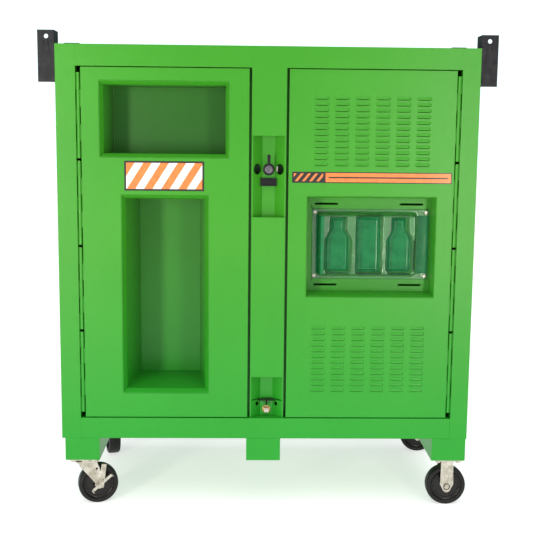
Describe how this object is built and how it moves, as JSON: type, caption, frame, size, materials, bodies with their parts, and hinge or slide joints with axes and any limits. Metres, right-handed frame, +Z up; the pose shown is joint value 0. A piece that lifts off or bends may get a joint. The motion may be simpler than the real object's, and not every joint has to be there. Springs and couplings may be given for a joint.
{
  "type": "rolling jobsite storage cabinet",
  "caption": "Welded steel rolling storage cabinet with recessed double doors, centre lock post, lifting angles, skids and casters.",
  "frame": {"origin": "on the floor under the centre of the bounding box", "axes": "+Z up, front with the doors faces -Y, +X to the right of someone facing the doors"},
  "size_m": [1.644, 0.762, 1.7715],
  "materials": {
    "green_paint": "bright green semi-gloss powder coat on steel sheet",
    "black_paint": "black powder coat on steel angle",
    "black_handle": "black coated steel",
    "zinc_plate": "zinc plated steel, slightly warm",
    "black_wheel": "hard black moulded wheel, satin",
    "clear_plastic": "clear formed plastic",
    "bronze": "plain bearing bronze"
  },
  "bodies": {
    "cabinet": {"left_side_panel": "green_paint", "right_side_panel": "green_paint", "back_panel": "green_paint", "roof_panel": "green_paint", "floor_panel": "green_paint", "top_rail": "green_paint", "bottom_rail": "green_paint", "lock_post": "green_paint", "post_cover": "green_paint", "post_rear_cover": "green_paint", "skid_left": "green_paint", "skid_middle": "green_paint", "skid_right": "green_paint", "shelf_supports": "green_paint", "shelf_lower": "green_paint", "shelf_middle": "green_paint", "shelf_upper": "green_paint", "lug_front_left": "black_paint", "lug_front_right": "black_paint", "lug_rear_left": "black_paint", "lug_rear_right": "black_paint", "lug_bolts": "zinc_plate", "left_hinge_frame_leaf": "green_paint", "right_hinge_frame_leaf": "green_paint", "hinge_pins": "zinc_plate", "spindle_bushings": "bronze", "lock_guards": "black_handle", "swivel_plate_front": "zinc_plate", "swivel_plate_rear": "zinc_plate", "rigid_fork_front": "zinc_plate", "rigid_fork_rear": "zinc_plate", "rigid_axle_bolts": "zinc_plate", "caster_bolts": "zinc_plate"},
    "left_door": {"left_door_skin": "green_paint", "left_hinge_door_leaf": "green_paint", "first_aid_pan": "green_paint", "extinguisher_pan": "green_paint", "left_door_channel": "green_paint", "left_latch_strikes": "zinc_plate"},
    "right_door": {"right_door_skin": "green_paint", "right_hinge_door_leaf": "green_paint", "eyewash_pan": "green_paint", "right_door_channels": "green_paint", "right_latch_strikes": "zinc_plate", "bottle_tray": "clear_plastic", "tray_screws": "zinc_plate"},
    "handle": {"latch_handle": "black_handle", "upper_cam": "zinc_plate"},
    "lower_latch": {"lower_cam": "zinc_plate"},
    "rod": {"link_rod": "zinc_plate"},
    "front_swivel": {"swivel_fork_front": "zinc_plate", "axle_bolt_front": "zinc_plate"},
    "rear_swivel": {"swivel_fork_rear": "zinc_plate", "axle_bolt_rear": "zinc_plate"},
    "front_brake": {"brake_lever_front": "zinc_plate"},
    "rear_brake": {"brake_lever_rear": "zinc_plate"},
    "front_left_wheel": {"wheel_front_left": "black_wheel"},
    "rear_left_wheel": {"wheel_rear_left": "black_wheel"},
    "front_right_wheel": {"wheel_front_right": "black_wheel"},
    "rear_right_wheel": {"wheel_rear_right": "black_wheel"}
  },
  "joints": [
    {"name": "left_door_hinge", "type": "hinge", "parent": "cabinet", "child": "left_door", "pos_m": [-0.682, -0.3745, 1.0015], "axis": [0, 0, -1], "range_deg": [0, 115]},
    {"name": "right_door_hinge", "type": "hinge", "parent": "cabinet", "child": "right_door", "pos_m": [0.6885, -0.3745, 1.0015], "axis": [0, 0, 1], "range_deg": [0, 115]},
    {"name": "handle_turn", "type": "hinge", "parent": "cabinet", "child": "handle", "pos_m": [0.00325, -0.333, 1.286], "axis": [0, 1, 0], "range_deg": [0, 90]},
    {"name": "lower_latch_turn", "type": "hinge", "parent": "cabinet", "child": "lower_latch", "pos_m": [0.00325, -0.333, 0.378], "axis": [0, 1, 0], "range_deg": [0, 90]},
    {"name": "rod_pivot", "type": "hinge", "parent": "handle", "child": "rod", "pos_m": [0.02825, -0.318, 1.286], "axis": [0, 1, 0], "range_deg": [-90, 0]},
    {"name": "front_swivel_turn", "type": "hinge", "parent": "cabinet", "child": "front_swivel", "pos_m": [-0.687, -0.3145, 0.1705], "axis": [0, 0, 1], "continuous": true},
    {"name": "rear_swivel_turn", "type": "hinge", "parent": "cabinet", "child": "rear_swivel", "pos_m": [-0.677, 0.3145, 0.1705], "axis": [0, 0, 1], "continuous": true},
    {"name": "front_brake_press", "type": "hinge", "parent": "front_swivel", "child": "front_brake", "pos_m": [-0.63209, -0.34171, 0.076], "axis": [-0.2588, 0.9659, 0], "range_deg": [0, 40]},
    {"name": "rear_brake_press", "type": "hinge", "parent": "rear_swivel", "child": "rear_brake", "pos_m": [-0.70325, 0.25912, 0.076], "axis": [0.9613, 0.2756, 0], "range_deg": [0, 40]},
    {"name": "front_left_wheel_roll", "type": "hinge", "parent": "front_swivel", "child": "front_left_wheel", "pos_m": [-0.64257, -0.30259, 0.076], "axis": [-0.2588, 0.9659, 0], "continuous": true},
    {"name": "rear_left_wheel_roll", "type": "hinge", "parent": "rear_swivel", "child": "rear_left_wheel", "pos_m": [-0.66432, 0.27028, 0.076], "axis": [0.9613, 0.2756, 0], "continuous": true},
    {"name": "front_right_wheel_roll", "type": "hinge", "parent": "cabinet", "child": "front_right_wheel", "pos_m": [0.7, -0.3145, 0.076], "axis": [0, 1, 0], "continuous": true},
    {"name": "rear_right_wheel_roll", "type": "hinge", "parent": "cabinet", "child": "rear_right_wheel", "pos_m": [0.7, 0.3145, 0.076], "axis": [0, 1, 0], "continuous": true}
  ],
  "couplings": [
    {"joint": "lower_latch_turn", "follows": "handle_turn", "ratio": 1},
    {"joint": "rod_pivot", "follows": "handle_turn", "ratio": -1}
  ]
}
